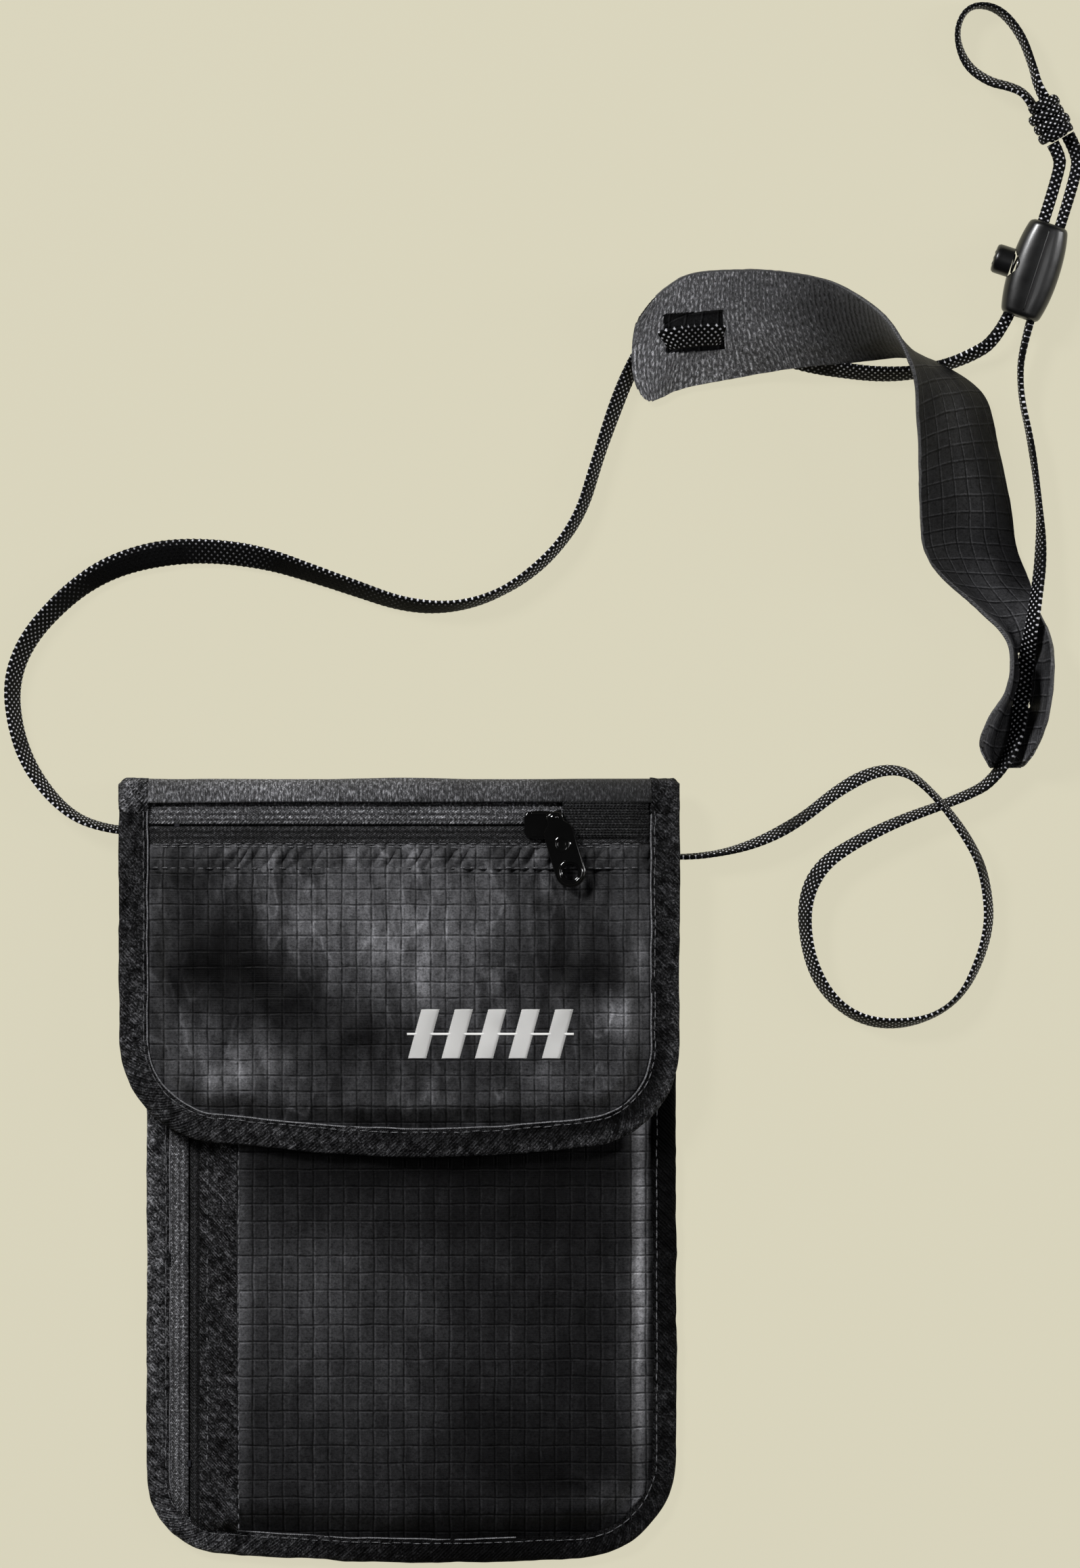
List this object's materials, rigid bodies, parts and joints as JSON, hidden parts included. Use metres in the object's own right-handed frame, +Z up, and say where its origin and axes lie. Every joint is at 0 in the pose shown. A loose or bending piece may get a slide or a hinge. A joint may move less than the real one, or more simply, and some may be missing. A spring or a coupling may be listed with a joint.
{
  "type": "neck pouch wallet",
  "caption": "Flat fabric neck pouch with a zipped fold-over flap, a side zip, bound edges and a neck cord with padded band, cord lock and knot.",
  "frame": {"origin": "under the middle of the pouch, at the centre of its outline, on the surface it lies on", "axes": "+X to the right across the pouch, +Y up the pouch towards the fold, +Z up out of the surface towards the flap"},
  "size_m": [0.2749, 0.399, 0.0315],
  "materials": {
    "ripstop": "satin",
    "twill_tape": "matte",
    "zip_tape": "satin",
    "zip_coil": "gloss",
    "lining_fabric": "matte",
    "soft_knit": "matte",
    "hook_loop": "matte",
    "cord_braid": "satin",
    "moulded_black": "gloss",
    "embroidery": "satin",
    "spring_steel": "satin"
  },
  "bodies": {
    "pouch": {"body_binding": "twill_tape", "back_panel": "soft_knit", "front_panel": "ripstop", "front_panel_edge_strip": "twill_tape", "front_zip_tape_left": "zip_tape", "front_zip_tape_right": "zip_tape", "front_zip_coil_left": "zip_coil", "front_zip_coil_right": "zip_coil", "front_zip_stops": "zip_coil", "loop_patch": "hook_loop", "neck_cord_left": "cord_braid", "neck_cord_right": "cord_braid", "cord_knot": "cord_braid", "pull_loop": "cord_braid", "neck_band_outer": "ripstop", "neck_band_lining": "soft_knit"},
    "flap": {"fold_band": "soft_knit", "flap_lining": "lining_fabric", "flap_front_panel": "ripstop", "flap_zip_seam_strip": "ripstop", "flap_zip_tape_upper": "zip_tape", "flap_zip_tape_lower": "zip_tape", "flap_zip_coil_upper": "zip_coil", "flap_zip_coil_lower": "zip_coil", "flap_zip_stops": "zip_coil", "zip_garage": "twill_tape", "flap_binding": "twill_tape", "hook_patch": "hook_loop", "embroidered_patch": "embroidery"},
    "flap_zip_slider": {"flap_zip_slider": "moulded_black"},
    "flap_zip_pull": {"flap_zip_pull": "moulded_black"},
    "front_zip_slider": {"front_zip_slider": "moulded_black"},
    "front_zip_pull": {"front_zip_pull": "moulded_black"},
    "cord_lock": {"cord_lock_housing": "moulded_black", "cord_lock_spring": "spring_steel"},
    "lock_button": {"cord_lock_button": "moulded_black"}
  },
  "joints": [
    {"name": "flap_hinge", "type": "hinge", "parent": "pouch", "child": "flap", "pos_m": [0, 0.0946, 0.0086], "axis": [-1, 0, 0], "range_deg": [0, 175]},
    {"name": "flap_zip_slide", "type": "slide", "parent": "flap", "child": "flap_zip_slider", "axis": [-1, 0, 0], "range_m": [0, 0.0875]},
    {"name": "flap_zip_pull_hinge", "type": "hinge", "parent": "flap_zip_slider", "child": "flap_zip_pull", "pos_m": [0.0394, 0.0902, 0.01555], "axis": [-0.9585, -0.2851, 0], "range_deg": [0, 140]},
    {"name": "front_zip_slide", "type": "slide", "parent": "pouch", "child": "front_zip_slider", "axis": [0, -1, 0], "range_m": [0, 0.147]},
    {"name": "front_zip_pull_hinge", "type": "hinge", "parent": "front_zip_slider", "child": "front_zip_pull", "pos_m": [-0.0536, 0.079, 0.0061], "axis": [-1, 0, 0], "range_deg": [0, 6]},
    {"name": "cord_lock_slide", "type": "slide", "parent": "pouch", "child": "cord_lock", "axis": [0.312, 0.9501, 0], "range_m": [0, 0.009]},
    {"name": "lock_button_press", "type": "slide", "parent": "cord_lock", "child": "lock_button", "axis": [0.9501, -0.312, 0], "range_m": [0, 0.0018], "stiffness_N_per_m": 400, "deforming": ["cord_lock_spring"]}
  ]
}
